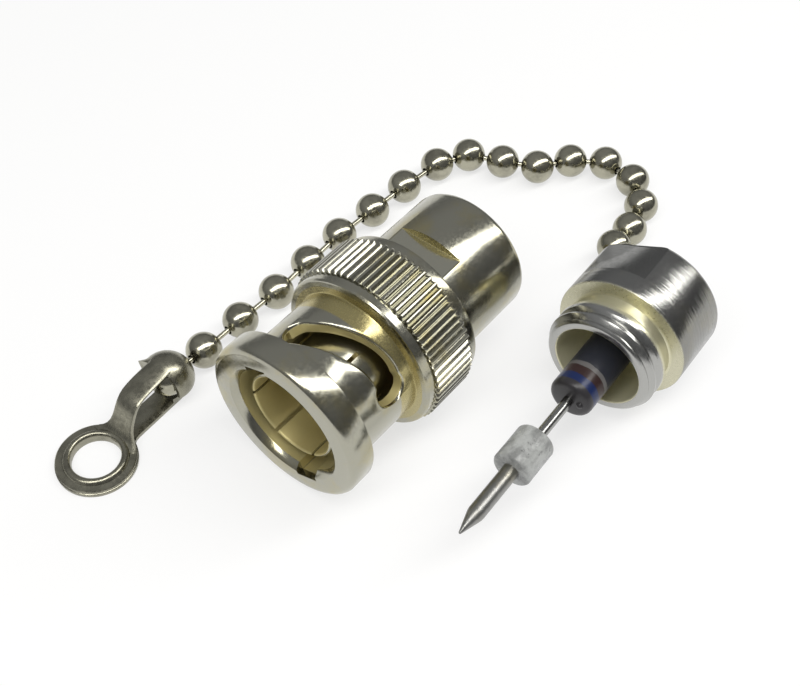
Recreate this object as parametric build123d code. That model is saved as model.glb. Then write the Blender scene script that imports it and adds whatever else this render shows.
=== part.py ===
from build123d import *
import os
from math import atan2, cos, degrees, pi, radians, sin, sqrt

# Millimetres. The plug lies along X with its mouth towards -X and Z up.
# The origin is the centre of the outer contact's front edge, on the plug's axis.
# Angles about an axis count from straight up towards +Y.

# Clearances
press = 0.0
running = 0.05
nut_fit = 0.08
thread_clear = 0.05

# Radii that the rest step outwards from
contact_r = 4.1
contact_wall = 0.35
contact_bore_r = contact_r - contact_wall
neck_step = 0.65
neck_r = contact_r + neck_step
body_flange_height = 1.15
body_flange_r = neck_r + body_flange_height
body_height = 1.0
body_r = neck_r + body_height

# Coupling nut, stations along X
nut_front = -1.0
flange_end = 1.4
sleeve_end = 7.9
collar_end = 8.8
knurl_end = 13.3
nut_end = 14.3
channel = 0.83
nut_bore_r = contact_r + channel
mouth_step = 0.42
mouth_r = nut_bore_r + mouth_step
mouth_bevel = 0.45
sleeve_wall = 1.02
sleeve_r = nut_bore_r + sleeve_wall
flange_height = 1.3
flange_r = sleeve_r + flange_height
flange_round = 0.5
collar_height = 1.25
collar_r = sleeve_r + collar_height
chamber_clear = 0.4
chamber_r = body_flange_r + chamber_clear
chamber_wall = 0.8
rear_band_r = chamber_r + chamber_wall
ridge_height = 0.4
knurl_r = rear_band_r + ridge_height
knurl_depth = 0.22
knurl_bevel = 0.25
ridges = 72

# Cam slots: centre line as (x, angle) from the entry to the detent
slot_width = 2.25
slot_path = [
    (3.4, 18.5),
    (3.75, 9.0),
    (4.17, 0.0),
    (4.55, -10.0),
    (4.9, -19.0),
    (5.2, -28.0),
    (5.4, -35.0),
    (5.57, -42.0),
    (5.68, -50.0),
    (5.7, -58.0),
    (5.5, -67.0),
]
slot_lap = 0.12
detent_r = 1.35
entry_angle = 23.0
entry_width = 2.2
entry_skin = 0.35
entry_r = sleeve_r - entry_skin

# Outer contact
contact_tip_bevel = 0.12
slit_end = 5.87
slit_width = 0.35
slit_count = 6
slit_angle = -28.0
web_front = 6.5
web_rear = 10.0
contact_rear = 11.0
bushing_r = 1.66

# Plug body
body_flange_front = 9.2
body_flange_rear = 11.2
body_shoulder = 13.4
body_rear = 22.6
body_bevel = 0.3
flat_end = 17.25
flat_depth = 0.82
flat_distance = body_r - flat_depth
cavity_step = 0.2
cavity_r = contact_r - cavity_step
thread_pitch = 0.95
thread_wall = 0.82
thread_crest_r = body_r - thread_wall
thread_depth = 0.42
thread_flat = 0.2
thread_root = 0.1
socket_length = 4.4
socket_relief = 0.5

# Pieces inside the nut
gasket_length = 0.9
groove_depth = 0.3
spring_length = 1.4
spring_sheet = 0.35
ring_width = 0.7
ring_gap = 1.6

# Cap: stations along its own axis, from the shoulder that meets the plug body
cap_place = (23.73, -14.77)
cap_turn = 2.25
cap_step = 0.04
cap_r = body_r + cap_step
cap_length = 6.1
cap_edge = 0.12
cap_rear_bevel = 0.35
nose_length = 3.7
nose_rim_depth = 0.45
nose_rim_r = thread_crest_r - nose_rim_depth
nose_relief = 1.3
nose_lead = 0.8
shoulder_fillet = 0.3
nose_wall = 0.68
cup_r = nose_rim_r - nose_wall
cup_floor = 3.0
cap_flat_angle = 28.0
cap_flat_start = 1.85
cap_flat_depth = 0.84
cap_flat_distance = cap_r - cap_flat_depth

# Resistor, collar and pin, stations along the cap's axis
resistor_r = 1.88
resistor_front = -7.9
resistor_rear = 1.6
resistor_round = 0.3
lead_r = 0.45
rear_lead_end = 3.6
bushing_front = -16.1
bushing_rear = -12.6
bushing_bevel = 0.15
pin_r = 0.69
pin_point = -22.9
pin_cone = 2.0
pin_nose_r = 0.12
pin_rear = bushing_front
pin_cup = 1.1
solder_r = 1.1
solder_length = 0.6

# Chain socket in the cap's rear wall
socket_plug_r = 1.5
socket_plug_front = 4.2
socket_plate = 0.45
captive_station = 5.2
captive_r = 0.7
captive_width = 0.5
captive_room = 0.22
captive_hole_r = 0.6
captive_flare_r = 1.25

# Chain
floor_z = -knurl_r
bead_r = 1.6
bead_wall = 0.3
bead_hole_r = 0.4
link_r = 0.22
link_head_r = 0.46
link_head_width = 0.36
link_span = 2.56
slack = 3.42
eased = 4.0
taut = 4.42
first_reach = 2.9
# One row per link from the cap: heading, height of the bead above the floor, pitch
chain_path = [
    (25.0, 5.53, first_reach),
    (70.0, 4.16, eased),
    (45.1, 2.2, eased),
    (6.4, bead_r, slack),
    (14.2, bead_r, slack),
    (45.6, bead_r, slack),
    (82.3, bead_r, slack),
    (123.6, bead_r, slack),
    (143.7, bead_r, slack),
    (116.0, bead_r, slack),
    (113.1, bead_r, slack),
    (152.2, bead_r, slack),
    (172.6, bead_r, taut),
    (176.1, bead_r, taut),
    (176.0, bead_r, taut),
    (180.6, bead_r, taut),
    (181.9, bead_r, taut),
    (177.3, bead_r, taut),
    (178.9, bead_r, taut),
    (181.9, 2.3, taut),
]

# Ring tag: the leaf's middle line as (distance behind the last bead, height above it)
leaf_path = [
    (0.6, 2.05),
    (1.4, 2.0),
    (2.4, 1.86),
    (3.3, 1.68),
    (4.0, 1.42),
    (4.5, 0.95),
    (4.95, 0.25),
    (5.4, -0.5),
    (5.85, -1.2),
    (6.1, -1.6),
]
tag_sheet = 0.35
tag_reach = 8.67
tag_ring_r = 3.4
tag_hole_r = 2.05
tag_lip_r = 2.42
tag_lip_height = 0.16
tag_upper_inset = 0.07
tag_width = 2.1
tag_cup_edge = 0.75
tag_skirt = 0.45
tag_slot_width = 1.6
tag_slot_height = 1.5
tag_seam = 45.0


def turned(outline):
    """A solid turned about X from an outline of (x, radius) points."""
    edge = Polyline(*[(x, 0, r) for x, r in outline], close=True)
    return revolve(make_face(edge), Axis.X)


def outward(angle):
    """Unit vector across the X axis at an angle from straight up."""
    return Vector(0, sin(radians(angle)), cos(radians(angle)))


def slab(x0, x1, r0, r1, width, angle):
    """A box between two stations and two radii, facing an angle."""
    box = Pos((x0 + x1) / 2, 0, (r0 + r1) / 2) * Box(x1 - x0, width, r1 - r0)
    return Rot(X=-angle) * box


def slot_pin(x, angle, radius):
    """A round cutter that stands across the sleeve wall."""
    middle = (nut_bore_r + sleeve_r) / 2
    place = Plane(origin=Vector(x, 0, 0) + outward(angle) * middle, x_dir=(1, 0, 0), z_dir=outward(angle))
    return place * Cylinder(radius, 2.4)


def slot_step(start, end):
    """A straight cutter between two points of the slot's centre line."""
    middle = (nut_bore_r + sleeve_r) / 2
    first = Vector(start[0], 0, 0) + outward(start[1]) * middle
    last = Vector(end[0], 0, 0) + outward(end[1]) * middle
    along = last - first
    place = Plane(
        origin=(first + last) / 2,
        x_dir=along,
        z_dir=outward((start[1] + end[1]) / 2),
    )
    return place * Box(along.length + slot_lap, slot_width, 2.4)


def cam_slot():
    """Cutter for one cam slot with its entry groove and detent."""
    cut = slab(nut_front - 1, slot_path[0][0], nut_bore_r - 0.5, entry_r, entry_width, entry_angle)
    cut += slot_pin(*slot_path[0], slot_width / 2)
    for start, end in zip(slot_path, slot_path[1:]):
        cut += slot_step(start, end)
    return cut + slot_pin(*slot_path[-1], detent_r)


def knurl():
    """The straight-knurled band, bevelled at both ends."""
    corners = []
    for i in range(2 * ridges):
        r = knurl_r - knurl_depth * (i % 2)
        a = pi * i / ridges
        corners.append((collar_end, r * sin(a), r * cos(a)))
    face = make_face(Polyline(*corners, close=True))
    star = extrude(face, amount=knurl_end - collar_end, dir=(1, 0, 0))
    envelope = turned([
        (collar_end, 0),
        (collar_end, knurl_r - knurl_bevel),
        (collar_end + knurl_bevel, knurl_r),
        (knurl_end - knurl_bevel, knurl_r),
        (knurl_end, knurl_r - knurl_bevel),
        (knurl_end, 0),
    ])
    return star & envelope


def nut_bore():
    """Everything cut from the nut's inside."""
    chamber_front = body_flange_front - running
    groove_front = body_flange_rear + spring_length - running
    groove_rear = groove_front + ring_width + 2 * running
    groove_r = chamber_r + groove_depth
    return turned([
        (nut_front - 1, 0),
        (nut_front - 1, mouth_r),
        (nut_front, mouth_r),
        (nut_front + mouth_bevel, nut_bore_r),
        (chamber_front, nut_bore_r),
        (chamber_front, chamber_r),
        (groove_front, chamber_r),
        (groove_front, groove_r),
        (groove_rear, groove_r),
        (groove_rear, chamber_r),
        (nut_end + 1, chamber_r),
        (nut_end + 1, 0),
    ])


def coupling_nut():
    blank = turned([
        (nut_front, 0),
        (nut_front, flange_r - flange_round),
        (nut_front + flange_round * 0.3, flange_r - flange_round * 0.3),
        (nut_front + flange_round, flange_r),
        (flange_end - 0.15, flange_r),
        (flange_end, flange_r - 0.15),
        (flange_end, sleeve_r),
        (sleeve_end, sleeve_r),
        (sleeve_end, collar_r - 0.25),
        (sleeve_end + 0.25, collar_r),
        (collar_end, collar_r),
        (nut_end - 0.3, rear_band_r),
        (nut_end, rear_band_r - 0.3),
        (nut_end, 0),
    ])
    nut = blank + knurl() - nut_bore()
    for turn in (0, 180):
        nut -= Rot(X=turn) * cam_slot()
    return nut


def outer_contact():
    tube = turned([
        (0, contact_bore_r + contact_tip_bevel),
        (0, contact_r - contact_tip_bevel),
        (contact_tip_bevel, contact_r),
        (contact_rear, contact_r),
        (contact_rear, contact_bore_r),
        (web_rear, contact_bore_r),
        (web_rear, bushing_r + running),
        (web_front, bushing_r + running),
        (web_front, contact_bore_r),
        (contact_tip_bevel, contact_bore_r),
    ])
    for i in range(slit_count):
        angle = slit_angle + 360 / slit_count * i
        tube -= slab(-1, slit_end, contact_bore_r - 0.6, contact_r + 0.5, slit_width, angle)
    return tube


def plug_body():
    socket_front = body_rear - socket_length
    crest = thread_crest_r + thread_clear
    minor = crest - thread_depth
    outline = [
        (body_flange_front, contact_r),
        (body_flange_front, body_flange_r),
        (body_flange_rear, body_flange_r),
        (body_flange_rear, neck_r),
        (body_shoulder, neck_r),
        (body_shoulder, body_r),
        (body_rear - body_bevel, body_r),
        (body_rear, body_r - body_bevel),
        (body_rear, crest + 0.1),
        (body_rear - 0.5, minor),
    ]
    turns = int((socket_length - socket_relief - 0.5) / thread_pitch)
    x = body_rear - 0.5 - 0.15
    for i in range(turns):
        outline.append((x, minor))
        outline.append((x - 0.35, crest))
        outline.append((x - 0.5, crest))
        outline.append((x - 0.85, minor))
        x -= thread_pitch
    outline += [
        (socket_front, minor),
        (socket_front, cavity_r),
        (contact_rear, cavity_r),
        (contact_rear, contact_r),
    ]
    body = turned(outline)
    for angle in (0, 180):
        body -= slab(body_shoulder - 1, flat_end, flat_distance, flat_distance + 2, 14, angle)
    return body


def gasket():
    inner = contact_r + press
    return turned([
        (body_flange_front - gasket_length, inner),
        (body_flange_front - gasket_length, nut_bore_r - nut_fit),
        (body_flange_front - running, nut_bore_r - nut_fit),
        (body_flange_front - running, inner),
    ])


def retaining_ring():
    front = body_flange_rear + spring_length
    ring = turned([
        (front, neck_r + running),
        (front, chamber_r + groove_depth - running),
        (front + ring_width, chamber_r + groove_depth - running),
        (front + ring_width, neck_r + running),
    ])
    return ring - slab(front - 1, front + 2, neck_r - 1, chamber_r + 1, ring_gap, 180)


def spring_washer():
    front = body_flange_rear
    rear = front + spring_length
    lean = spring_length - spring_sheet
    inner = neck_r + running
    outer = chamber_r - 2 * running
    return turned([
        (front, inner),
        (front + spring_sheet, inner),
        (rear, outer),
        (front + lean, outer),
    ])


def male_thread():
    """Outline of the nose from its front rim to the shoulder."""
    root = thread_crest_r - thread_depth
    flank = (thread_pitch - thread_flat - thread_root) / 2
    crest = -nose_length + nose_lead
    front_groove = crest - thread_pitch / 2
    rear_groove = crest + thread_pitch / 2
    half_root = thread_root / 2
    return [
        (-nose_length, nose_rim_r),
        (front_groove - half_root - 0.1, nose_rim_r + 0.18),
        (front_groove - half_root, root),
        (front_groove + half_root, root),
        (crest - thread_flat / 2, thread_crest_r),
        (crest + thread_flat / 2, thread_crest_r),
        (rear_groove - half_root, root),
        (rear_groove + half_root, root),
        (rear_groove + half_root + flank, thread_crest_r),
        (-nose_relief, thread_crest_r),
        (-nose_relief + 0.2, root),
        (-shoulder_fillet, root),
        (-shoulder_fillet * 0.3, root + shoulder_fillet * 0.3),
        (0, root + shoulder_fillet),
    ]


def cap_shell():
    hole = socket_plug_r
    outline = [(-nose_length, cup_r)] + male_thread() + [
        (0, cap_r - cap_edge),
        (cap_edge, cap_r),
        (cap_length - cap_rear_bevel, cap_r),
        (cap_length, cap_r - cap_rear_bevel),
        (cap_length, hole),
        (socket_plug_front, hole),
        (socket_plug_front, 0),
        (rear_lead_end, 0),
        (rear_lead_end, lead_r),
        (cup_floor, lead_r),
        (cup_floor, cup_r),
    ]
    shell = turned(outline)
    for angle in (cap_flat_angle, cap_flat_angle + 180):
        shell -= slab(cap_flat_start, cap_length + 1, cap_flat_distance, cap_r + 1, 14, angle)
    return shell


def resistor_body():
    return turned([
        (resistor_front, 0),
        (resistor_front, resistor_r - resistor_round),
        (resistor_front + 0.3 * resistor_round, resistor_r - 0.3 * resistor_round),
        (resistor_front + resistor_round, resistor_r),
        (resistor_rear - resistor_round, resistor_r),
        (resistor_rear - 0.3 * resistor_round, resistor_r - 0.3 * resistor_round),
        (resistor_rear, resistor_r - resistor_round),
        (resistor_rear, 0),
    ])


def rod(start, end, radius):
    return turned([(start, 0), (start, radius), (end, radius), (end, 0)])


def solder_joint():
    return turned([
        (cup_floor - solder_length, lead_r),
        (cup_floor - 0.4 * solder_length, lead_r + 0.25 * (solder_r - lead_r)),
        (cup_floor, solder_r),
        (cup_floor, lead_r),
    ])


def insulator_collar():
    return turned([
        (bushing_front, lead_r),
        (bushing_front, bushing_r - bushing_bevel),
        (bushing_front + bushing_bevel, bushing_r),
        (bushing_rear - bushing_bevel, bushing_r),
        (bushing_rear, bushing_r - bushing_bevel),
        (bushing_rear, lead_r),
    ])


def contact_pin():
    return turned([
        (pin_point, 0),
        (pin_point, pin_nose_r),
        (pin_point + pin_cone, pin_r),
        (pin_rear, pin_r),
        (pin_rear, lead_r),
        (pin_rear - pin_cup, lead_r),
        (pin_rear - pin_cup, 0),
    ])


def chain_socket():
    """Turned plug that holds the chain's first head in the cap's rear wall."""
    room_front = captive_station - captive_width / 2 - captive_room
    room_rear = captive_station + captive_width / 2 + captive_room
    room_r = captive_r + captive_room
    return turned([
        (socket_plug_front, 0),
        (socket_plug_front, socket_plug_r),
        (cap_length, socket_plug_r),
        (cap_length, captive_flare_r),
        (room_rear + 0.05, captive_hole_r),
        (room_rear, captive_hole_r),
        (room_rear, room_r),
        (room_front, room_r),
        (room_front, 0),
    ])


def cap_location():
    return Location((cap_place[0], cap_place[1], floor_z + cap_r), (0, 0, cap_turn))


def chain_points():
    """Centre of the captive head, then of each bead."""
    start = cap_location() * Location((captive_station, 0, 0))
    points = [start.position]
    for heading, height, pitch in chain_path:
        last = points[-1]
        rise = floor_z + height - last.Z
        reach = sqrt(pitch ** 2 - rise ** 2)
        a = radians(heading)
        points.append(last + Vector(reach * cos(a), reach * sin(a), rise))
    return points


def link_ends(points, k):
    """Head centres of link k, which joins point k-1 to bead k."""
    along = (points[k] - points[k - 1]).normalized()
    slack_each = (chain_path[k - 1][2] - link_span) / 2
    if k == 1:
        return points[0], points[1] - along * (first_reach - link_span)
    return points[k - 1] + along * slack_each, points[k] - along * slack_each


def link_outline(near_r, near_width):
    half = link_head_width / 2
    return [
        (-near_width / 2, 0),
        (-near_width / 2, near_r),
        (near_width / 2, near_r),
        (near_width / 2, link_r),
        (link_span - half, link_r),
        (link_span - half, link_head_r),
        (link_span + half, link_head_r),
        (link_span + half, 0),
    ]


def chain_link(points, k):
    near, far = link_ends(points, k)
    along = far - near
    place = Plane(origin=near, x_dir=along, z_dir=Vector(0, 0, 1).cross(along).cross(along) * -1)
    if k == 1:
        return place * turned(link_outline(captive_r, captive_width))
    return place * turned(link_outline(link_head_r, link_head_width))


def chain_bead(points, k):
    centre = points[k]
    seam = chain_path[k - 1][0] + 90
    bead = Location(tuple(centre), (0, 0, seam)) * (Sphere(bead_r) - Sphere(bead_r - bead_wall))
    ways = [points[k - 1] - centre]
    if k < len(points) - 1:
        ways.append(points[k + 1] - centre)
    for way in ways:
        place = Plane(origin=centre + way.normalized() * bead_r, z_dir=way)
        bead -= place * Cylinder(bead_hole_r, bead_r)
    return bead


def leaf():
    """The strip's upper leaf, from the dome down to the ring."""
    points = [Vector(-back, 0, height) for back, height in leaf_path]
    above = []
    below = []
    for i, point in enumerate(points):
        along = points[min(i + 1, len(points) - 1)] - points[max(i - 1, 0)]
        side = Vector(-along.Z, 0, along.X).normalized() * (tag_sheet / 2)
        above.append(tuple(point - side))
        below.append(tuple(point + side))
    edge = Polyline(*(above + below[::-1]), close=True)
    return extrude(make_face(edge), amount=tag_width / 2, dir=(0, 1, 0), both=True)


def tag_dome():
    """The front of a hollow ball: whole above the skirt, as wide as the strip below it."""
    outer = chain_path[-1][1]
    shell = Rot(X=tag_seam) * Rot(Y=90) * (Sphere(outer) - Sphere(outer - tag_sheet))
    front = outer + tag_cup_edge
    block = Pos(front / 2 - tag_cup_edge, 0, 0)
    upper = shell & (block * Pos(0, 0, outer / 2 - tag_skirt / 2) * Box(front, 2 * outer, outer + tag_skirt))
    lower = shell & (block * Box(front, tag_width, 2 * outer))
    slot = Pos(outer, 0, 0) * Box(outer, tag_slot_width, tag_slot_height)
    return upper + lower - slot


def tag_plates():
    """Lower ring with the strip's lower leaf, upper ring, and the rolled lip, still without their hole."""
    lower = Pos(-tag_reach, 0) * Circle(tag_ring_r) + Pos(-tag_reach / 2, 0) * Rectangle(tag_reach, tag_width)
    upper = Pos(-tag_reach, 0) * Circle(tag_ring_r - tag_upper_inset)
    roll = Pos(-tag_reach, 0) * Circle(tag_lip_r)
    plates = extrude(lower, amount=tag_sheet, dir=(0, 0, 1))
    plates += extrude(upper, amount=2 * tag_sheet, dir=(0, 0, 1))
    plates += extrude(roll, amount=2 * tag_sheet + tag_lip_height, dir=(0, 0, 1))
    return Pos(0, 0, -chain_path[-1][1]) * plates


def ring_tag(points):
    """The tag, placed so that its cup holds the last bead."""
    tag = tag_plates() + leaf() + tag_dome()
    tag -= Pos(-tag_reach, 0, -chain_path[-1][1]) * Cylinder(tag_hole_r, 4 * tag_sheet + 4 * tag_lip_height)
    heading = chain_path[-1][0] + 180
    return Location(tuple(points[-1]), (0, 0, heading)) * tag


def main():
    os.makedirs("parts", exist_ok=True)
    cap = cap_location()
    points = chain_points()
    nodes = {
        "coupling_nut": coupling_nut(),
        "outer_contact": outer_contact(),
        "plug_body": plug_body(),
        "gasket": gasket(),
        "retaining_ring": retaining_ring(),
        "spring_washer": spring_washer(),
        "cap_shell": cap * cap_shell(),
        "resistor_body": cap * resistor_body(),
        "resistor_front_lead": cap * rod(pin_rear - pin_cup, resistor_front, lead_r),
        "resistor_rear_lead": cap * rod(resistor_rear, rear_lead_end, lead_r),
        "solder_joint": cap * solder_joint(),
        "insulator_collar": cap * insulator_collar(),
        "contact_pin": cap * contact_pin(),
        "chain_socket": cap * chain_socket(),
        "ring_tag": ring_tag(points),
    }
    for k in range(1, len(points)):
        nodes[f"chain_link_{k:02d}"] = chain_link(points, k)
        nodes[f"chain_bead_{k:02d}"] = chain_bead(points, k)
    for name, shape in nodes.items():
        export_step(shape, f"parts/{name}.step")


main()
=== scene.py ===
"""Open coaxial terminator: plug, unscrewed cap with its resistor, and bead chain."""
import math

import bmesh
import bpy
from mathutils import Matrix, Vector


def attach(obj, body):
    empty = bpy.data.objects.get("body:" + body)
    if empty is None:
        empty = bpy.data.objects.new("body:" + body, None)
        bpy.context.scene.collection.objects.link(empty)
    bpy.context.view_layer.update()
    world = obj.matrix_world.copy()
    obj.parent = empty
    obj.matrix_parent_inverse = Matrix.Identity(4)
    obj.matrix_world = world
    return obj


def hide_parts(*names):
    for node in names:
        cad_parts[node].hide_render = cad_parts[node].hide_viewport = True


bl_info = {
    "name": "Coaxial terminator",
    "version": (1, 0, 0),
    "blender": (4, 5, 0),
    "location": "View3D > Sidebar > Terminator",
    "description": "Dresses an open coaxial terminator and its bead chain on the packed frame",
    "category": "Add Mesh",
}

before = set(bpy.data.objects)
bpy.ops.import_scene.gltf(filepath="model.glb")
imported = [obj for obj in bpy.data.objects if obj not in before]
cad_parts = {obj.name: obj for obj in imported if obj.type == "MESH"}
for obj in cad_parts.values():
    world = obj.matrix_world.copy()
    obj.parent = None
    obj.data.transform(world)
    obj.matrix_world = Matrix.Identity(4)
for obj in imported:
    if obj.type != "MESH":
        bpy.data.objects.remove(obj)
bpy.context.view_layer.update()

# Sizes and places are in millimetres on the frame's axes, and MM turns them into metres;
# the plug's own axis is X
MM = 0.001
MERGE = 0.004 * MM
TIP = 0.003
FLOOR = -7.5
CAP_R = 5.79
CAP_TURN = math.radians(2.25)
CAP_PLACE = (23.73, -14.77, FLOOR + CAP_R)
CAP = (CAP_PLACE, CAP_TURN)
NO_PLACE = ((0.0, 0.0, 0.0), 0.0)
TURNING_SCALE = (6.0, 0.05, 0.05)

BEAD_R = 1.6
LINK_SPAN = 2.56
FIRST_REACH = 2.9
SLACK, EASED, TAUT = 3.42, 4.0, 4.42
CAPTIVE_STATION = 5.2
# One row per link from the cap: heading in degrees, height of the bead above the floor, pitch
CHAIN = [
    (25.0, 5.53, FIRST_REACH), (70.0, 4.16, EASED), (45.1, 2.2, EASED),
    *((heading, BEAD_R, SLACK) for heading in (6.4, 14.2, 45.6, 82.3, 123.6, 143.7, 116.0, 113.1, 152.2)),
    *((heading, BEAD_R, TAUT) for heading in (172.6, 176.1, 176.0, 180.6, 181.9, 177.3, 178.9)),
    (181.9, 2.3, TAUT),
]

SPRING_STEEL = (0.5, 0.5, 0.5)
GASKET_RUBBER = (0.25, 0.08, 0.06)
SOLDER = (0.55, 0.55, 0.53)


class TerminatorSizes(bpy.types.PropertyGroup):
    ridges: bpy.props.IntProperty(
        name="Knurl ridges", description="Number of ridges round the coupling nut",
        default=72, min=20, max=160)
    knurl_depth: bpy.props.FloatProperty(
        name="Knurl depth", description="Depth of the knurl's grooves in millimetres",
        default=0.3, min=0.05, max=0.6, subtype="DISTANCE")
    slot_width: bpy.props.FloatProperty(
        name="Cam slot width", description="Width of the nut's cam slots in millimetres",
        default=2.25, min=1.5, max=3.0, subtype="DISTANCE")
    bead_radius: bpy.props.FloatProperty(
        name="Bead radius", description="Radius of the chain's beads in millimetres",
        default=BEAD_R, min=1.0, max=2.0, subtype="DISTANCE")
    tag_sheet: bpy.props.FloatProperty(
        name="Tag sheet", description="Thickness of the ring tag's sheet in millimetres",
        default=0.35, min=0.2, max=0.6, subtype="DISTANCE")


class TerminatorColours(bpy.types.PropertyGroup):
    nickel: bpy.props.FloatVectorProperty(
        name="Plating", description="Colour of the clean plating",
        subtype="COLOR", size=3, min=0, max=1, default=(0.40, 0.392, 0.325))
    tarnish: bpy.props.FloatVectorProperty(
        name="Tarnish", description="Colour of the tarnished plating",
        subtype="COLOR", size=3, min=0, max=1, default=(0.46, 0.40, 0.19))
    cap: bpy.props.FloatVectorProperty(
        name="Cap plating", description="Colour of the cap's clean plating",
        subtype="COLOR", size=3, min=0, max=1, default=(0.26, 0.26, 0.25))
    # A real golden stain, lightened as a painted sheen on the cap's shoulder and as painted light in its
    # bore.
    shoulder: bpy.props.FloatVectorProperty(
        name="Cap shoulder", description="Colour of the cap's stained shoulder and bore",
        subtype="COLOR", size=3, min=0, max=1, default=(0.80, 0.77, 0.56))
    chain: bpy.props.FloatVectorProperty(
        name="Chain", description="Colour of the chain's plating",
        subtype="COLOR", size=3, min=0, max=1, default=(0.42, 0.405, 0.32))
    coat: bpy.props.FloatVectorProperty(
        name="Resistor coat", description="Colour of the resistor's lacquer",
        subtype="COLOR", size=3, min=0, max=1, default=(0.024, 0.026, 0.036))
    collar: bpy.props.FloatVectorProperty(
        name="Collar", description="Colour of the insulating collar",
        subtype="COLOR", size=3, min=0, max=1, default=(0.22, 0.225, 0.22))
    floor: bpy.props.FloatVectorProperty(
        name="Floor", description="Colour of the floor",
        subtype="COLOR", size=3, min=0, max=1, default=(0.3, 0.3, 0.3))


def rgba(colour, factor=1.0):
    return tuple(min(1.0, c * factor) for c in colour) + (1.0,)


def clear():
    """Object mode with nothing selected."""
    if bpy.context.mode != "OBJECT":
        bpy.ops.object.mode_set(mode="OBJECT")
    bpy.ops.object.select_all(action="DESELECT")


def pick(piece):
    clear()
    piece.select_set(True)
    bpy.context.view_layer.objects.active = piece


def apply_place(piece):
    pick(piece)
    bpy.ops.object.transform_apply(location=True, rotation=True, scale=True)


def across(angle):
    """Unit vector across the X axis, at an angle in degrees from straight up."""
    a = math.radians(angle)
    return Vector((0.0, math.sin(a), math.cos(a)))


def face_outwards():
    """Turns the selected faces' normals outwards and leaves Edit Mode."""
    bpy.ops.mesh.normals_make_consistent(inside=False)
    bpy.ops.object.mode_set(mode="OBJECT")


def turned(outline, sides=160):
    """Extrudes and scales a ring along a closed outline of (x, radius) points."""
    clear()
    last_x, last_r = outline[0]
    bpy.ops.mesh.primitive_circle_add(
        vertices=sides, radius=last_r * MM, location=(last_x * MM, 0, 0), rotation=(0, math.pi / 2, 0))
    piece = bpy.context.active_object
    apply_place(piece)
    bpy.ops.object.mode_set(mode="EDIT")
    bpy.ops.mesh.select_all(action="SELECT")
    for x, r in outline[1:] + outline[:1]:
        bpy.ops.mesh.extrude_region_move(TRANSFORM_OT_translate={"value": ((x - last_x) * MM, 0, 0)})
        factor = r / last_r
        bpy.ops.transform.resize(value=(1, factor, factor), center_override=(x * MM, 0, 0))
        last_x, last_r = x, r
    bpy.ops.mesh.select_all(action="SELECT")
    bpy.ops.mesh.remove_doubles(threshold=MERGE)
    face_outwards()
    return piece


def block(low, high):
    """A box between two corners."""
    clear()
    bpy.ops.mesh.primitive_cube_add(size=1)
    piece = bpy.context.active_object
    piece.scale = [(b - a) * MM for a, b in zip(low, high)]
    piece.location = [(a + b) / 2 * MM for a, b in zip(low, high)]
    apply_place(piece)
    return piece


def ball(radius, segments, rings, centre=(0, 0, 0), turn=0.0):
    clear()
    bpy.ops.mesh.primitive_uv_sphere_add(
        segments=segments, ring_count=rings, radius=radius * MM, location=Vector(centre) * MM,
        rotation=(0, 0, turn))
    piece = bpy.context.active_object
    apply_place(piece)
    return piece


def box_cutter(x0, x1, r0, r1, width, angle):
    """A box between two stations and two radii, facing an angle from straight up."""
    cutter = block((x0, -width / 2, r0), (x1, width / 2, r1))
    cutter.rotation_euler = (-math.radians(angle), 0, 0)
    apply_place(cutter)
    return cutter


def boolean(piece, tool, operation="DIFFERENCE"):
    pick(piece)
    cut = piece.modifiers.new("cut", "BOOLEAN")
    cut.object = tool
    cut.operation = operation
    cut.solver = "EXACT"
    bpy.ops.object.modifier_apply(modifier=cut.name)
    bpy.data.objects.remove(tool)


def soften(piece, width, segments=2, angle=35):
    """Rounds the sharp edges a little."""
    pick(piece)
    bevel = piece.modifiers.new("soften", "BEVEL")
    bevel.width = width * MM
    bevel.segments = segments
    bevel.limit_method = "ANGLE"
    bevel.angle_limit = math.radians(angle)
    bevel.harden_normals = False
    bpy.ops.object.modifier_apply(modifier=bevel.name)


def smooth(piece, angle=35):
    pick(piece)
    bpy.ops.object.shade_smooth_by_angle(angle=math.radians(angle))


def set_down(piece, place):
    """Moves a piece built along X to its place and bakes that into its mesh."""
    (x, y, z), turn = place
    piece.rotation_euler = (0, 0, turn)
    piece.location = (x * MM, y * MM, z * MM)
    apply_place(piece)


def finish_piece(piece, name, material, body, node):
    """Names a piece, gives it its material and tells the frame what it rides on and replaces."""
    piece.name = name
    piece.data.name = name
    piece.data.materials.clear()
    piece.data.materials.append(material)
    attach(piece, body)
    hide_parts(node)


# Materials


def new_material(name):
    material = bpy.data.materials.new(name)
    material.use_nodes = True
    tree = material.node_tree
    tree.nodes.clear()
    output = tree.nodes.new("ShaderNodeOutputMaterial")
    shader = tree.nodes.new("ShaderNodeBsdfPrincipled")
    tree.links.new(shader.outputs[0], output.inputs[0])
    return material, tree, shader


def piece_coordinates(tree, place=NO_PLACE):
    """Object coordinates in millimetres, measured from a piece's own axis."""
    (x, y, z), turn = place
    source = tree.nodes.new("ShaderNodeTexCoord")
    mapping = tree.nodes.new("ShaderNodeMapping")
    back = Matrix.Rotation(-turn, 3, "Z") @ Vector((-x, -y, -z))
    mapping.inputs["Scale"].default_value = (1 / MM, 1 / MM, 1 / MM)
    mapping.inputs["Rotation"].default_value = (0, 0, -turn)
    mapping.inputs["Location"].default_value = back
    tree.links.new(source.outputs["Object"], mapping.inputs["Vector"])
    return mapping.outputs[0]


def stretched(tree, vector, scale):
    mapping = tree.nodes.new("ShaderNodeMapping")
    mapping.inputs["Scale"].default_value = scale
    tree.links.new(vector, mapping.inputs["Vector"])
    return mapping.outputs[0]


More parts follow.
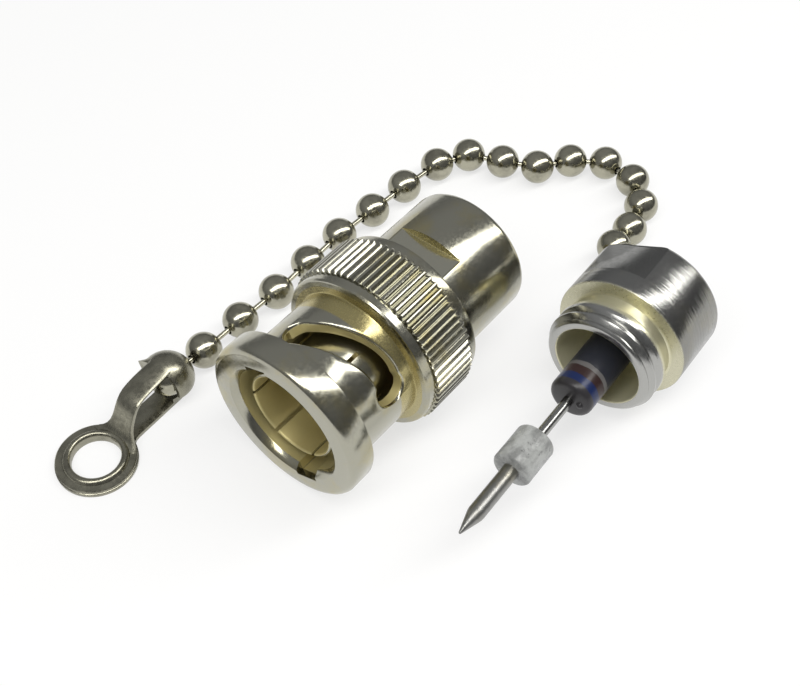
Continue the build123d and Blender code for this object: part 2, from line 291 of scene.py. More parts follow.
def noise(tree, vector, scale, detail=3.0, roughness=0.5):
    node = tree.nodes.new("ShaderNodeTexNoise")
    node.inputs["Scale"].default_value = scale
    node.inputs["Detail"].default_value = detail
    node.inputs["Roughness"].default_value = roughness
    tree.links.new(vector, node.inputs["Vector"])
    return node.outputs["Fac"]


def ranged(tree, value, low, high, to_low=0.0, to_high=1.0, kind="SMOOTHSTEP"):
    node = tree.nodes.new("ShaderNodeMapRange")
    node.interpolation_type = kind
    node.inputs["From Min"].default_value = low
    node.inputs["From Max"].default_value = high
    node.inputs["To Min"].default_value = to_low
    node.inputs["To Max"].default_value = to_high
    tree.links.new(value, node.inputs["Value"])
    return node.outputs[0]


def arithmetic(tree, operation, first, second):
    node = tree.nodes.new("ShaderNodeMath")
    node.operation = operation
    for socket, value in zip(node.inputs, (first, second)):
        if isinstance(value, (int, float)):
            socket.default_value = value
        else:
            tree.links.new(value, socket)
    return node.outputs[0]


def times(tree, first, second):
    return arithmetic(tree, "MULTIPLY", first, second)


def plus(tree, first, second):
    return arithmetic(tree, "ADD", first, second)


def minus(tree, first, second):
    return arithmetic(tree, "SUBTRACT", first, second)


def mixed(tree, factor, first, second):
    node = tree.nodes.new("ShaderNodeMix")
    node.data_type = "RGBA"
    for name, value in (("Factor_Float", factor), ("A_Color", first), ("B_Color", second)):
        socket = next(s for s in node.inputs if s.identifier == name)
        if isinstance(value, (tuple, int, float)):
            socket.default_value = value
        else:
            tree.links.new(value, socket)
    return next(s for s in node.outputs if s.identifier == "Result_Color")


def axis_radius(tree, vector):
    """Distance from the piece's X axis."""
    flat = tree.nodes.new("ShaderNodeVectorMath")
    flat.operation = "MULTIPLY"
    flat.inputs[1].default_value = (0, 1, 1)
    tree.links.new(vector, flat.inputs[0])
    length = tree.nodes.new("ShaderNodeVectorMath")
    length.operation = "LENGTH"
    tree.links.new(flat.outputs[0], length.inputs[0])
    return length.outputs["Value"]


def station(tree, vector):
    split = tree.nodes.new("ShaderNodeSeparateXYZ")
    tree.links.new(vector, split.inputs[0])
    return split.outputs["X"]


def bumped(tree, shader, height, strength, distance):
    bump = tree.nodes.new("ShaderNodeBump")
    bump.inputs["Strength"].default_value = strength
    bump.inputs["Distance"].default_value = distance * MM
    tree.links.new(height, bump.inputs["Height"])
    tree.links.new(bump.outputs[0], shader.inputs["Normal"])


def within(tree, value, low, high, fade):
    """One between two values, fading to nothing outside them."""
    middle, half = (low + high) / 2, (high - low) / 2
    away = arithmetic(tree, "ABSOLUTE", minus(tree, value, middle), 0)
    return ranged(tree, away, half - fade / 2, half + fade / 2, 1.0, 0.0)


def zone(stations, radii, tint, fade=0.04, dulled=0.0):
    """Part of a turned piece, between two stations and two radii, that has its own colour: a stain on some
    pieces, painted light or shade on others.
    """
    return stations, radii, tint, fade, dulled


def plated(name, clean, stain, rough, place=NO_PLACE, zones=(), lines=0.3, grain=0.35, patch=0.6):
    """Worn plating with stained patches, turning lines and grain; the zones have no turning lines."""
    material, tree, shader = new_material(name)
    vector = piece_coordinates(tree, place)
    patches = ranged(tree, noise(tree, vector, 0.28, 5.0, 0.6), 0.45, 0.72, 0.0, patch)
    colour = mixed(tree, patches, clean, stain)
    turning = noise(tree, stretched(tree, vector, TURNING_SCALE), 1.0, 3.0)
    specks = noise(tree, vector, 3.5, 4.0, 0.65)
    gloss = ranged(tree, specks, 0.3, 0.7, rough - 0.04, rough + 0.06)
    metallic = 1.0
    x, radius = station(tree, vector), axis_radius(tree, vector)
    for stations, radii, tint, fade, dulled in zones:
        along = within(tree, x, *stations, fade)
        here = times(tree, along, within(tree, radius, *radii, 0.04))
        turning = times(tree, turning, minus(tree, 1.0, here))
        colour = mixed(tree, here, colour, tint)
        gloss = plus(tree, gloss, times(tree, here, dulled * 0.6))
        metallic = minus(tree, metallic, times(tree, here, dulled))
    if zones:
        tree.links.new(metallic, shader.inputs["Metallic"])
    else:
        shader.inputs["Metallic"].default_value = 1.0
    tree.links.new(colour, shader.inputs["Base Color"])
    tree.links.new(gloss, shader.inputs["Roughness"])
    height = times(tree, turning, lines)
    height = plus(tree, height, times(tree, specks, grain))
    waves = times(tree, noise(tree, vector, 0.7, 1.0), 0.15)
    height = plus(tree, height, waves)
    bumped(tree, shader, height, 0.25, 0.03)
    return material


def chain_plating(name, colours, rough=0.17, lighten=1.0):
    """Darker plating with smudges and faint dents, for the chain and its tag."""
    material, tree, shader = new_material(name)
    vector = piece_coordinates(tree)
    smudge = ranged(tree, noise(tree, vector, 0.6, 5.0, 0.6), 0.4, 0.7)
    shader.inputs["Metallic"].default_value = 1.0
    colour = mixed(tree, smudge, rgba(colours.chain, lighten), rgba(colours.chain, 0.68 * lighten))
    tree.links.new(colour, shader.inputs["Base Color"])
    specks = noise(tree, vector, 3.0, 4.0, 0.6)
    tree.links.new(ranged(tree, specks, 0.3, 0.7, rough - 0.05, rough + 0.1), shader.inputs["Roughness"])
    bumped(tree, shader, specks, 0.08, 0.03)
    return material


# Where each band of the resistor begins on the cap's axis, and its colour; the coat follows the last
BANDS = (
    (-8.0, (0.03, 0.028, 0.031)), (-7.25, (0.006, 0.016, 0.075)),
    (-6.45, (0.030, 0.014, 0.013)), (-5.6, (0.12, 0.115, 0.115)),
)
COAT_START, COAT_END = -5.15, 2.0


def resistor_lacquer(name, colours):
    """Dark lacquer with its colour bands, set by the station along the cap's axis."""
    material, tree, shader = new_material(name)
    vector = piece_coordinates(tree, CAP)
    ramp = tree.nodes.new("ShaderNodeValToRGB")
    ramp.color_ramp.interpolation = "CONSTANT"
    bands = BANDS + ((COAT_START, tuple(colours.coat)),)
    start = bands[0][0]
    elements = ramp.color_ramp.elements
    while len(elements) < len(bands):
        elements.new(0.5)
    for element, (at, colour) in zip(elements, bands):
        element.position = (at - start) / (COAT_END - start)
        element.color = colour + (1.0,)
    wobble = times(tree, noise(tree, vector, 0.9, 2.0), 0.25)
    along = plus(tree, station(tree, vector), minus(tree, wobble, 0.12))
    tree.links.new(ranged(tree, along, start, COAT_END, kind="LINEAR"), ramp.inputs[0])
    tree.links.new(ramp.outputs[0], shader.inputs["Base Color"])
    shader.inputs["Roughness"].default_value = 0.3
    shader.inputs["Specular IOR Level"].default_value = 0.4
    bumped(tree, shader, noise(tree, vector, 2.5, 3.0), 0.25, 0.05)
    return material


def scuffed_plastic(name, colour, marks):
    """Worn off-white plastic with cloudy smears, dark scuffs and a rumpled gloss."""
    material, tree, shader = new_material(name)
    vector = piece_coordinates(tree, CAP)
    smears = noise(tree, stretched(tree, vector, (1.0, 1.6, 1.6)), 0.6, 4.0, 0.6)
    clouds = ranged(tree, smears, 0.35, 0.65)
    scuffs = ranged(tree, noise(tree, vector, 1.1, 6.0, 0.7), 0.58, 0.7, 0.0, 0.85)
    clean = mixed(tree, clouds, colour, rgba(colour[:3], 1.9))
    tree.links.new(mixed(tree, scuffs, clean, marks), shader.inputs["Base Color"])
    specks = noise(tree, vector, 1.6, 4.0, 0.6)
    tree.links.new(ranged(tree, specks, 0.3, 0.7, 0.2, 0.42), shader.inputs["Roughness"])
    bumped(tree, shader, specks, 0.5, 0.16)
    return material


def plain_grained(name, colour, metallic, rough):
    material, tree, shader = new_material(name)
    vector = piece_coordinates(tree)
    grain = noise(tree, vector, 1.8, 4.0)
    tree.links.new(mixed(tree, grain, rgba(colour, 0.8), rgba(colour, 1.15)), shader.inputs["Base Color"])
    shader.inputs["Metallic"].default_value = metallic
    tree.links.new(ranged(tree, grain, 0.3, 0.7, rough - 0.05, rough + 0.1), shader.inputs["Roughness"])
    bumped(tree, shader, grain, 0.2, 0.03)
    return material


# Coupling nut


NUT_FRONT, RIM_END, NECK_END, NUT_END = -1.0, 1.4, 7.9, 14.3
GRIP_START, GRIP_END = 8.84, 13.3
NUT_BORE_R, SEAT_R, RING_GROOVE_R = 4.93, 6.3, 6.6
SLEEVE_R, RIM_R, SHOULDER_R, GRIP_ROOT_R, GRIP_R = 5.95, 7.25, 7.2, 7.1, 7.5
# The slot's centre line: station, and degrees round the sleeve from straight up
SLOT_PATH = [
    (3.4, 18.5), (3.75, 9.0), (4.17, 0.0), (4.55, -10.0), (4.9, -19.0), (5.2, -28.0),
    (5.4, -35.0), (5.57, -42.0), (5.68, -50.0), (5.7, -58.0), (5.5, -67.0),
]
DETENT_R = 1.35
ENTRY_ANGLE, ENTRY_WIDTH, ENTRY_R = 23, 2.2, 5.6
RIDGE_SIDES = 6
# How deep each side of a ridge's groove is pressed, and how unevenly the ridges are worn
RIDGE_PROFILE = {1: 0.06, 2: 0.7, 3: 1.0, 4: 0.7, 5: 0.06}
RIDGE_WEAR = (1.0, 0.92, 1.05)


def rounded(points, rounds=3):
    """Cuts the corners of an open line, keeping its ends."""
    for _ in range(rounds):
        fresh = [points[0]]
        for (ax, ay), (bx, by) in zip(points, points[1:]):
            fresh.append((ax * 0.75 + bx * 0.25, ay * 0.75 + by * 0.25))
            fresh.append((ax * 0.25 + bx * 0.75, ay * 0.25 + by * 0.75))
        fresh.append(points[-1])
        points = fresh
    return points


def slot_sections(width):
    """Centre, direction and half width of the slot's sections, unrolled at the sleeve's radius."""
    unroll = math.radians(1) * SLEEVE_R
    line = rounded([(x, a * unroll) for x, a in SLOT_PATH])
    sections = []
    steps, least = 8, 0.02
    start_way = (Vector(line[1]) - Vector(line[0])).normalized()
    for i in range(steps):
        turn = math.pi / 2 * i / steps
        centre = Vector(line[0]) - start_way * (width / 2) * math.cos(turn)
        sections.append((centre, start_way, max(least, width / 2 * math.sin(turn))))
    detent = Vector(line[-1])
    for i, point in enumerate(line):
        here = Vector(point)
        ahead = Vector(line[min(i + 1, len(line) - 1)])
        behind = Vector(line[max(i - 1, 0)])
        direction = (ahead - behind).normalized()
        half = width / 2
        away = (here - detent).length
        if away < DETENT_R:
            half = max(half, math.sqrt(DETENT_R ** 2 - away ** 2))
        sections.append((here, direction, half))
    end_way = sections[-1][1]
    for i in range(1, steps + 1):
        turn = math.pi / 2 * i / steps
        centre = detent + end_way * DETENT_R * math.sin(turn)
        sections.append((centre, end_way, max(least, DETENT_R * math.cos(turn))))
    return sections


def slot_cutter(width):
    """A cutter swept along the cam slot, flared where it leaves the sleeve to round its lip."""
    layers = (
        (NUT_BORE_R - 0.73, 0.0), (SLEEVE_R - 0.33, 0.0), (SLEEVE_R - 0.15, 0.05),
        (SLEEVE_R - 0.05, 0.14), (SLEEVE_R + 0.02, 0.32), (SLEEVE_R + 0.75, 0.9))
    mesh = bpy.data.meshes.new("slot_cutter")
    shape = bmesh.new()
    rows = []
    unroll = math.radians(1) * SLEEVE_R
    for centre, direction, half in slot_sections(width):
        sideways = Vector((-direction.y, direction.x))
        flare = min(1.0, half / 0.6)
        row = []
        for edge in (1, -1):
            column = []
            for r, widen in layers:
                spot = centre + sideways * edge * (half + widen * flare)
                point = Vector((spot.x, 0, 0)) + across(spot.y / unroll) * r
                column.append(shape.verts.new(point * MM))
            row.append(column)
        rows.append(row)
    count = len(layers)
    for first, last in zip(rows, rows[1:]):
        for k in range(count - 1):
            shape.faces.new((first[0][k], first[0][k + 1], last[0][k + 1], last[0][k]))
            shape.faces.new((last[1][k], last[1][k + 1], first[1][k + 1], first[1][k]))
        shape.faces.new((first[0][0], last[0][0], last[1][0], first[1][0]))
        shape.faces.new((first[1][-1], last[1][-1], last[0][-1], first[0][-1]))
    for row in (rows[0], rows[-1]):
        for k in range(count - 1):
            shape.faces.new((row[0][k], row[1][k], row[1][k + 1], row[0][k + 1]))
    bmesh.ops.recalc_face_normals(shape, faces=shape.faces)
    shape.to_mesh(mesh)
    shape.free()
    cutter = bpy.data.objects.new("slot_cutter", mesh)
    bpy.context.scene.collection.objects.link(cutter)
    return cutter


def knurl_ridges(piece, ridges, x0, x1, radius, depth):
    """Presses the rounded ridges of a straight knurl between two stations."""
    pick(piece)
    bpy.ops.object.mode_set(mode="EDIT")
    for kind, uneven in enumerate(RIDGE_WEAR):
        for part, share in RIDGE_PROFILE.items():
            bpy.ops.mesh.select_all(action="DESELECT")
            shape = bmesh.from_edit_mesh(piece.data)
            for vert in shape.verts:
                x, y, z = (c / MM for c in vert.co)
                if not (x0 < x < x1) or math.hypot(y, z) < radius - 0.35:
                    continue
                side = round((math.degrees(math.atan2(y, z)) % 360) / 360 * ridges * RIDGE_SIDES)
                ridge = side // RIDGE_SIDES
                if side % RIDGE_SIDES == part and (ridge * 7 // 2) % len(RIDGE_WEAR) == kind:
                    vert.select = True
            shape.select_flush(True)
            bmesh.update_edit_mesh(piece.data)
            factor = (radius - depth * share * uneven) / radius
            bpy.ops.transform.resize(value=(1, factor, factor), center_override=(0, 0, 0))
    bpy.ops.object.mode_set(mode="OBJECT")


class OBJECT_OT_coupling_nut(bpy.types.Operator):
    """Builds the knurled coupling nut with its two cam slots"""
    bl_idname = "terminator.coupling_nut"
    bl_label = "Coupling nut"

    def execute(self, context):
        sizes = context.scene.terminator_sizes
        colours = context.scene.terminator_colours
        front, neck, start, end, rear = NUT_FRONT, NECK_END, GRIP_START, GRIP_END, NUT_END
        rim, sleeve, root, grip = RIM_R, SLEEVE_R, GRIP_ROOT_R, GRIP_R
        bore, seat, groove = NUT_BORE_R, SEAT_R, RING_GROOVE_R
        outline = [
            (front, bore + 0.47), (front, rim - 0.55), (front + 0.05, rim - 0.32), (front + 0.2, rim - 0.13),
            (front + 0.45, rim), (0.3, rim), (1.2, rim), (RIM_END - 0.06, rim - 0.05), (RIM_END, rim - 0.17),
            (RIM_END, sleeve + 0.1), (RIM_END + 0.06, sleeve + 0.03), (RIM_END + 0.2, sleeve), (3.2, sleeve),
            (4.8, sleeve), (6.4, sleeve), (neck - 0.2, sleeve), (neck - 0.05, sleeve + 0.05),
            (neck, sleeve + 0.17), (neck, SHOULDER_R - 0.28), (neck + 0.06, SHOULDER_R - 0.1),
            (neck + 0.22, SHOULDER_R), (start - 0.14, SHOULDER_R), (start - 0.08, root), (start, root),
            (start + 0.03, grip - 0.08), (start + 0.11, grip), (start + 0.26, grip), (end - 0.3, grip),
            (end - 0.15, grip), (end - 0.05, grip - 0.08), (end, root), (end + 0.7, root),
            (rear - 0.1, root - 0.07), (rear, root - 0.25), (rear, seat + 0.08), (rear - 0.08, seat),
            (13.35, seat), (13.35, groove), (12.55, groove), (12.55, seat), (9.15, seat), (9.15, bore),
            (7.5, bore), (5.5, bore), (3.5, bore), (1.5, bore), (front + 0.65, bore),
            (front + 0.5, bore + 0.03), (front + 0.08, bore + 0.37),
        ]
        nut = turned(outline, sides=RIDGE_SIDES * sizes.ridges)
        knurl_ridges(nut, sizes.ridges, start + 0.02, end - 0.02, grip, sizes.knurl_depth)
        for turn in (0, 180):
            cutter = slot_cutter(sizes.slot_width)
            cutter.rotation_euler = (math.radians(turn), 0, 0)
            apply_place(cutter)
            boolean(nut, cutter)
            slot_start, angle = SLOT_PATH[0][0], ENTRY_ANGLE - turn
            boolean(nut, box_cutter(front - 1, slot_start, bore - 0.63, ENTRY_R, ENTRY_WIDTH, angle))
        smooth(nut, 32)
        zones = (
            zone((6.2, neck + 0.05), (sleeve - 0.05, 6.6), rgba(colours.tarnish), 0.2, 0.1),
            # Inside the nut the tarnish colour is lightened as painted light in the bore and the entry
            # notches, and made duller.
            zone((-0.4, 9.0), (4.0, sleeve - 0.25), rgba(colours.tarnish, 1.22), 0.08, 0.4))
        silver = plated("nut plating", rgba(colours.nickel), rgba(colours.tarnish), 0.18, zones=zones)
        finish_piece(nut, "nut_dressed", silver, "nut", "coupling_nut")
        return {"FINISHED"}


# Outer contact and plug body


CONTACT_R, CONTACT_BORE_R, CONTACT_END = 4.1, 3.75, 11.0
BORE_END, CENTRE_HOLE_R = 6.5, 1.71
SLITS, SLIT_END, SLIT_WIDTH, SLIT_ANGLE = 6, 5.87, 0.35, -28
BODY_FRONT, BODY_END, BODY_R, BODY_BORE_R = 9.2, 22.6, 5.75, 3.9
RING_SLOT, RING_SLOT_R = (11.2, 13.4), 4.75
THREAD_CREST_R, THREAD_ROOT_R, THREAD_PITCH, THREAD_TURNS = 4.56, 4.98, 0.95, 3
THREAD_START, SOCKET_END = 21.95, 18.2
FLAT_WIDTH, BODY_FLAT_END, BODY_FLAT_R = 14, 17.25, 4.93


class OBJECT_OT_outer_contact(bpy.types.Operator):
    """Builds the split outer contact inside the nut"""
    bl_idname = "terminator.outer_contact"
    bl_label = "Outer contact"

    def execute(self, context):
        colours = context.scene.terminator_colours
        lip, bore, end = CONTACT_R, CONTACT_BORE_R, CONTACT_END
        outline = [
            (0.0, lip - 0.22), (0.02, lip - 0.12), (0.1, lip - 0.03), (0.28, lip), (2.0, lip), (4.0, lip),
            (6.0, lip), (end, lip), (end, bore), (end - 1, bore), (end - 1, CENTRE_HOLE_R),
            (BORE_END + 0.05, CENTRE_HOLE_R), (BORE_END, CENTRE_HOLE_R + 0.05), (BORE_END, bore - 0.13),
            (BORE_END - 0.1, bore), (4.0, bore), (2.0, bore), (0.2, bore), (0.06, bore + 0.05),
        ]
        tube = turned(outline, sides=144)
        for i in range(SLITS):
            angle = SLIT_ANGLE + 360 / SLITS * i
            boolean(tube, box_cutter(-0.5, SLIT_END, lip - 0.8, lip + 0.4, SLIT_WIDTH, angle))
        smooth(tube, 35)
        # The bore is the tarnish colour lightened as painted light inside it, and made duller.
        zones = (zone((-1.0, end + 1), (1.0, bore + 0.15), rgba(colours.tarnish, 1.2), 0.08, 0.4),)
        stain = rgba(colours.tarnish, 0.8)
        khaki = plated("contact plating", rgba(colours.nickel), stain, 0.2, zones=zones)
        finish_piece(tube, "contact_dressed", khaki, "plug", "outer_contact")
        return {"FINISHED"}


class OBJECT_OT_plug_body(bpy.types.Operator):
    """Builds the turned plug body with its wrench flats and threaded socket"""
    bl_idname = "terminator.plug_body"
    bl_label = "Plug body"

    def execute(self, context):
        colours = context.scene.terminator_colours
        front, end, r = BODY_FRONT, BODY_END, BODY_R
        slot_front, slot_end = RING_SLOT
        outline = [
            (front, CONTACT_R), (front, r + 0.1), (front + 0.05, r + 0.15), (slot_front, r + 0.15),
            (slot_front, RING_SLOT_R), (slot_end, RING_SLOT_R), (slot_end, r - 0.05), (slot_end + 0.05, r),
            (15.0, r), (17.2, r), (20.0, r), (end - 0.45, r), (end - 0.2, r - 0.06), (end - 0.05, r - 0.17),
            (end, r - 0.35), (end, THREAD_CREST_R + 0.56), (end - 0.5, THREAD_CREST_R),
        ]
        x, crest, root = THREAD_START, THREAD_CREST_R, THREAD_ROOT_R
        for _ in range(THREAD_TURNS):
            outline += [(x, crest), (x - 0.35, root), (x - 0.45, root), (x - 0.8, crest)]
            x -= THREAD_PITCH
        outline += [
            (SOCKET_END, crest), (SOCKET_END, BODY_BORE_R), (CONTACT_END, BODY_BORE_R),
            (CONTACT_END, CONTACT_R)]
        body = turned(outline, sides=160)
        for angle in (0, 180):
            flat = box_cutter(slot_end - 0.4, BODY_FLAT_END, BODY_FLAT_R, r + 1.25, FLAT_WIDTH, angle)
            boolean(body, flat)
        soften(body, 0.05, 2, 30)
        smooth(body, 35)
        # The flats are a lighter copy of the clean plating, as painted light.
        step, flats, socket = rgba(colours.tarnish, 1.6), rgba(colours.nickel, 1.32), rgba(colours.tarnish)
        flat_end = BODY_FLAT_END
        zones = (
            zone((flat_end - 0.1, flat_end + 0.1), (4.8, r - 0.02), step, 0.2, 0.1),
            zone((slot_end + 0.05, flat_end - 0.03), (4.8, r - 0.05), flats),
            zone((17.6, 24.0), (3.5, root + 0.01), socket, 0.08, 0.4))
        silver = plated("body plating", rgba(colours.nickel), rgba(colours.tarnish), 0.18, zones=zones)
        finish_piece(body, "body_dressed", silver, "plug", "plug_body")
        return {"FINISHED"}


# Cap with its resistor, collar and pin; stations are measured along the cap's own axis


NOSE, CAP_REAR = -3.72, 6.1
NOSE_BORE_R, NOSE_ROOT_R, NOSE_CREST_R = 3.8, 4.51, 4.93
CAP_WALL, CAPTIVE_HOLE_R, CAPTIVE_ROOM_R = 3.0, 1.5, 0.45
CAP_FLAT_START, CAP_FLAT_R, CAP_FLAT_ANGLE = 1.85, 4.95, 28
RESISTOR_R, RESISTOR_FRONT, RESISTOR_REAR = 1.88, -7.9, 1.6
LEAD_R, LEAD_TIP = 0.45, -17.2
LUMP_R, LUMP_AT = 0.32, (-7.82, -1.0, 0.1)
COLLAR_R, COLLAR_FRONT, COLLAR_REAR = 1.66, -16.1, -12.6
PIN_R, PIN_TIP, PIN_SHOULDER = 0.69, -22.9, -20.7


class OBJECT_OT_cap_shell(bpy.types.Operator):
    """Builds the cap with its threaded nose and wrench flats"""
    bl_idname = "terminator.cap_shell"
    bl_label = "Cap"

    def execute(self, context):
        colours = context.scene.terminator_colours
        bore, root, crest, r, rear = NOSE_BORE_R, NOSE_ROOT_R, NOSE_CREST_R, CAP_R, CAP_REAR
        outline = [
            (NOSE + 0.02, bore + 0.06), (NOSE, bore + 0.15), (NOSE, root - 0.15), (NOSE + 0.04, root - 0.05),
            (NOSE + 0.2, root + 0.12), (-3.45, root + 0.11), (-3.42, root), (-3.32, root),
            (-3.03, crest - 0.05), (-2.96, crest), (-2.84, crest), (-2.77, crest - 0.05), (-2.47, root),
            (-2.37, root), (-2.08, crest - 0.05), (-2.0, crest), (-1.4, crest), (-1.3, crest - 0.04),
            (-1.12, root + 0.02), (-0.5, root), (-0.15, root + 0.07), (0.0, crest - 0.13), (0.0, r - 0.13),
            (0.02, r - 0.05), (0.1, r), (1.9, r), (4.0, r), (rear - 0.4, r), (rear - 0.2, r - 0.06),
            (rear - 0.06, r - 0.19), (rear, r - 0.37), (rear, CAPTIVE_HOLE_R), (4.2, CAPTIVE_HOLE_R),
            (4.2, TIP), (3.6, TIP), (3.6, CAPTIVE_ROOM_R), (CAP_WALL, CAPTIVE_ROOM_R),
            (CAP_WALL, bore - 0.2), (CAP_WALL - 0.2, bore), (0.0, bore), (-3.0, bore), (NOSE + 0.1, bore),
        ]
        cap = turned(outline, sides=160)
        for angle in (CAP_FLAT_ANGLE, CAP_FLAT_ANGLE + 180):
            boolean(cap, box_cutter(CAP_FLAT_START, rear + 0.9, CAP_FLAT_R, r + 0.71, FLAT_WIDTH, angle))
        set_down(cap, CAP)
        smooth(cap, 35)
        # The thread is a lighter copy of the cap plating, as painted light on its ridges, and the flats are
        # a darker copy, as painted shade.
        thread, flats = rgba(colours.cap, 1.6), rgba(colours.cap, 0.78)
        # The shoulder is a golden stain made lighter as a painted sheen, and the bore's cup is that colour
        # lightened as painted light inside it.
        shoulder, cup = rgba(colours.shoulder, 0.85), rgba(colours.shoulder)
        zones = (
            zone((-4.0, -1.7), (3.9, 5.0), thread, 0.3),
            zone((-1.7, 0.06), (4.4, 6.0), shoulder, 0.3, 0.18),
            zone((CAP_FLAT_START + 0.03, 7.0), (4.8, r - 0.03), flats),
            zone((-4.0, 4.0), (1.0, bore + 0.08), cup, 0.08, 0.4))
        silver = plated("cap plating", rgba(colours.cap), rgba(colours.tarnish), 0.21, CAP, zones,
                        lines=5.0, grain=0.1, patch=0.15)
        finish_piece(cap, "cap_dressed", silver, "plug", "cap_shell")
        return {"FINISHED"}


class OBJECT_OT_resistor(bpy.types.Operator):
    """Builds the resistor with its bands and the lead that carries the pin"""
    bl_idname = "terminator.resistor"
    bl_label = "Resistor"

    def execute(self, context):
        colours = context.scene.terminator_colours
        front, rear, r = RESISTOR_FRONT, RESISTOR_REAR, RESISTOR_R
        body = turned([
            (front, TIP), (front, r - 0.5), (front + 0.06, r - 0.28), (front + 0.2, r - 0.11),
            (front + 0.4, r - 0.02), (-7.25, r), (-6.3, r - 0.01), (-5.0, r), (-1.0, r), (rear - 0.6, r),
            (rear - 0.25, r - 0.08), (rear - 0.05, r - 0.28), (rear, r - 0.48), (rear, TIP)], sides=64)
        boolean(body, ball(LUMP_R, 24, 12, LUMP_AT), "UNION")
        set_down(body, CAP)
        smooth(body, 50)
        finish_piece(body, "resistor_dressed", resistor_lacquer("resistor lacquer", colours),
                     "plug", "resistor_body")
        root = RESISTOR_FRONT + 0.05
        lead = turned([
            (LEAD_TIP, TIP), (LEAD_TIP, LEAD_R), (-12.0, LEAD_R), (root, LEAD_R), (root, TIP)], sides=32)
        set_down(lead, CAP)
        smooth(lead, 50)
        wire = plated("tinned wire", rgba(colours.cap, 1.3), rgba(colours.cap, 0.9), 0.2, CAP)
        finish_piece(lead, "lead_dressed", wire, "plug", "resistor_front_lead")
        return {"FINISHED"}


class OBJECT_OT_collar_and_pin(bpy.types.Operator):
    """Builds the insulating collar and the pointed contact pin"""
    bl_idname = "terminator.collar_and_pin"
    bl_label = "Collar and pin"

    def execute(self, context):
        colours = context.scene.terminator_colours
        front, rear, r = COLLAR_FRONT, COLLAR_REAR, COLLAR_R
        collar = turned([
            (front, LEAD_R), (front, r - 0.16), (front + 0.04, r - 0.06), (front + 0.14, r),
            (-14.4, r - 0.01), (rear - 0.18, r), (rear - 0.05, r - 0.06), (rear, r - 0.18),
            (rear, LEAD_R)], sides=64)
        set_down(collar, CAP)
        smooth(collar, 40)
        finish_piece(collar, "collar_dressed",
                     scuffed_plastic("collar plastic", rgba(colours.collar), rgba(colours.collar, 0.3)),
                     "plug", "insulator_collar")
        shoulder, r = PIN_SHOULDER, PIN_R
        pin = turned([
            (PIN_TIP, TIP), (PIN_TIP, 0.05), (PIN_TIP + 0.04, 0.1), (shoulder - 0.4, r - 0.07),
            (shoulder - 0.2, r - 0.02), (shoulder, r), (-18.0, r), (front, r), (front, LEAD_R),
            (LEAD_TIP, LEAD_R), (LEAD_TIP, TIP)], sides=48)
        set_down(pin, CAP)
        smooth(pin, 40)
        silver = plated("pin plating", rgba(colours.cap, 1.15), rgba(colours.tarnish, 0.7), 0.36, CAP,
                        grain=2.4, patch=0.4)
        finish_piece(pin, "pin_dressed", silver, "plug", "contact_pin")
        return {"FINISHED"}


# Chain


BEAD_WALL, BEAD_HOLE_R, BEAD_SHARE = 0.3, 0.42, 0.997
SHANK_R, KNOB_R, KNOB_HALF = 0.24, 0.46, 0.18
CAPTIVE_R, CAPTIVE_HALF = 0.7, 0.25


def chain_points():
    """Centre of the captive head, then of each bead."""
    along = Vector((math.cos(CAP_TURN), math.sin(CAP_TURN), 0.0))
    points = [Vector(CAP_PLACE) + along * CAPTIVE_STATION]
    for heading, height, pitch in CHAIN:
        last = points[-1]
        rise = FLOOR + height - last.z
        reach = math.sqrt(pitch ** 2 - rise ** 2)
        turn = math.radians(heading)
        points.append(last + Vector((reach * math.cos(turn), reach * math.sin(turn), rise)))
    return points


def point_along(piece, origin, direction):
    """Turns a piece built along X so that it runs along a direction from a point."""
    turn = Vector((1, 0, 0)).rotation_difference(direction)
    piece.matrix_world = Matrix.Translation(origin * MM) @ turn.to_matrix().to_4x4()
    apply_place(piece)


def bead_hole(centre, way):
    """A drill through a bead's wall, on the side that faces its neighbour."""
    clear()
    bpy.ops.mesh.primitive_cylinder_add(vertices=32, radius=BEAD_HOLE_R * MM, depth=BEAD_R * MM)
    cutter = bpy.context.active_object
    turn = Vector((0, 0, 1)).rotation_difference(way)
    wall = centre + way.normalized() * BEAD_R
    cutter.matrix_world = Matrix.Translation(wall * MM) @ turn.to_matrix().to_4x4()
    apply_place(cutter)
    return cutter


def finish_chain_piece(piece, kind, k, steel):
    place = f"{k:02d}"
    finish_piece(piece, f"{kind}_{place}", steel, f"chain_{place}", f"chain_{kind}_{place}")


class OBJECT_OT_chain_beads(bpy.types.Operator):
    """Builds the chain's hollow beads with the holes that their links pass through"""
    bl_idname = "terminator.chain_beads"
    bl_label = "Chain beads"

    def execute(self, context):
        sizes = context.scene.terminator_sizes
        steel = chain_plating("chain plating", context.scene.terminator_colours)
        points = chain_points()
        for k in range(1, len(points)):
            centre = points[k]
            turn = math.radians(CHAIN[k - 1][0] + 90)
            bead = ball(BEAD_SHARE * sizes.bead_radius, 72, 36, centre, turn)
            boolean(bead, ball(sizes.bead_radius - BEAD_WALL, 24, 12, centre))
            ways = [points[k - 1] - centre]
            if k < len(points) - 1:
                ways.append(points[k + 1] - centre)
            for way in ways:
                boolean(bead, bead_hole(centre, way))
            smooth(bead, 40)
            finish_chain_piece(bead, "bead", k, steel)
        return {"FINISHED"}


